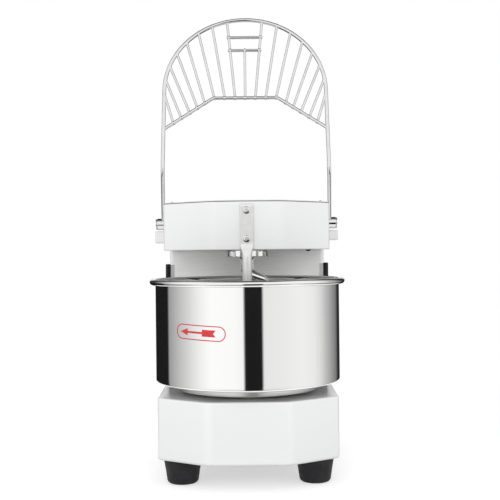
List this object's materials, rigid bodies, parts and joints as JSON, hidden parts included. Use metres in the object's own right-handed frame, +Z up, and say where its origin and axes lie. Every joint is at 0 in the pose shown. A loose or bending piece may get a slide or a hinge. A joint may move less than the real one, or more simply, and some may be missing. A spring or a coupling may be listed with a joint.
{
  "type": "spiral dough mixer",
  "caption": "Bench-top spiral dough mixer with a turning steel bowl, spiral hook, breaker bar, raised wire guard and a white faceted casing on rubber feet.",
  "frame": {"origin": "bottom centre of the machine's box, on the floor between the feet", "axes": "+X to the machine's right as seen from its front, +Y to its back, +Z up; the front faces -Y"},
  "size_m": [0.2896, 0.4636, 0.6883],
  "materials": {
    "white_paint": "smooth gloss white powder coat",
    "brushed_stainless": "fine brushed stainless sheet",
    "polished_stainless": "mirror-polished stainless steel",
    "chromed_wire": "bright welded stainless wire",
    "black_rubber": "matt black moulded rubber",
    "white_plastic": "white moulded nylon",
    "black_plastic": "black moulded plastic",
    "green_plastic": "green moulded plastic",
    "red_plastic": "red moulded plastic",
    "bright_steel": "turned or zinc-plated steel",
    "zinc_sheet": "zinc-plated sheet",
    "cast_aluminium": "cast aluminium"
  },
  "bodies": {
    "casing": {"base_shell": "white_paint", "bottom_plate": "zinc_sheet", "bowl_bearing_housing": "cast_aluminium", "bowl_bearings": "bright_steel", "bowl_belt": "black_rubber", "bowl_housing_screws": "bright_steel", "breaker_bar": "polished_stainless", "breaker_bar_screws": "bright_steel", "button_bezels": "black_plastic", "cable_gland": "black_plastic", "column_front_panel": "brushed_stainless", "column_shell": "white_paint", "control_panel": "brushed_stainless", "drive_bearings": "bright_steel", "foot_nuts": "bright_steel", "foot_studs": "bright_steel", "gearbox_bracket": "zinc_sheet", "gearbox_housing": "cast_aluminium", "guard_pins": "bright_steel", "guard_stop_block": "white_plastic", "guard_switch_housing": "white_plastic", "head_cover": "brushed_stainless", "head_cover_screws": "bright_steel", "head_shell": "white_paint", "head_trim": "polished_stainless", "motor_fan_cover": "black_plastic", "motor_housing": "cast_aluminium", "rear_cover": "white_paint", "rear_cover_screws": "bright_steel", "rubber_feet": "black_rubber", "shield_bolts": "bright_steel", "shield_spacers": "bright_steel", "spiral_bearing_housing": "cast_aluminium", "spiral_bearings": "bright_steel", "spiral_belt": "black_rubber", "spiral_housing_screws": "bright_steel", "splash_shield": "brushed_stainless", "switch_blocks": "black_plastic"},
    "bowl": {"bowl": "polished_stainless", "bowl_plinth": "polished_stainless", "bowl_shaft": "bright_steel", "bowl_centre_bolt": "polished_stainless", "bowl_pulley": "cast_aluminium"},
    "spiral": {"spiral_hook": "polished_stainless", "spiral_collar": "polished_stainless", "spiral_shaft": "bright_steel", "spiral_pulley": "cast_aluminium", "spiral_shaft_nut": "bright_steel"},
    "drive": {"drive_shaft": "bright_steel", "bowl_drive_pulley": "cast_aluminium", "spiral_drive_pulley": "cast_aluminium"},
    "guard": {"guard_hoop": "chromed_wire", "guard_rail": "chromed_wire", "guard_spokes": "chromed_wire", "guard_ladder": "chromed_wire", "guard_hub_left": "chromed_wire", "guard_hub_right": "chromed_wire"},
    "start": {"start_button": "green_plastic"},
    "stop": {"stop_button": "red_plastic"},
    "timer": {"timer_knob": "black_plastic"}
  },
  "joints": [
    {"name": "guard_hinge", "type": "hinge", "parent": "casing", "child": "guard", "pos_m": [0, 0.0762, 0.352], "axis": [1, 0, 0], "range_deg": [0, 109.5]},
    {"name": "bowl_spin", "type": "hinge", "parent": "casing", "child": "bowl", "pos_m": [0, -0.0958, 0.2], "axis": [0, 0, 1], "continuous": true},
    {"name": "spiral_spin", "type": "hinge", "parent": "casing", "child": "spiral", "pos_m": [0, -0.0318, 0.3], "axis": [0, 0, 1], "continuous": true},
    {"name": "drive_spin", "type": "hinge", "parent": "casing", "child": "drive", "pos_m": [0.058, 0.1392, 0.2], "axis": [0, 0, 1], "continuous": true},
    {"name": "start_press", "type": "slide", "parent": "casing", "child": "start", "axis": [-1, 0, 0], "range_m": [0, 0.004], "stiffness_N_per_m": 600},
    {"name": "stop_press", "type": "slide", "parent": "casing", "child": "stop", "axis": [-1, 0, 0], "range_m": [0, 0.004], "stiffness_N_per_m": 600},
    {"name": "timer_turn", "type": "hinge", "parent": "casing", "child": "timer", "pos_m": [0.121, 0.1402, 0.238], "axis": [1, 0, 0], "range_deg": [-300, 0]}
  ],
  "couplings": [
    {"joint": "drive_spin", "follows": "bowl_spin", "ratio": 6},
    {"joint": "spiral_spin", "follows": "bowl_spin", "ratio": 4.8}
  ]
}
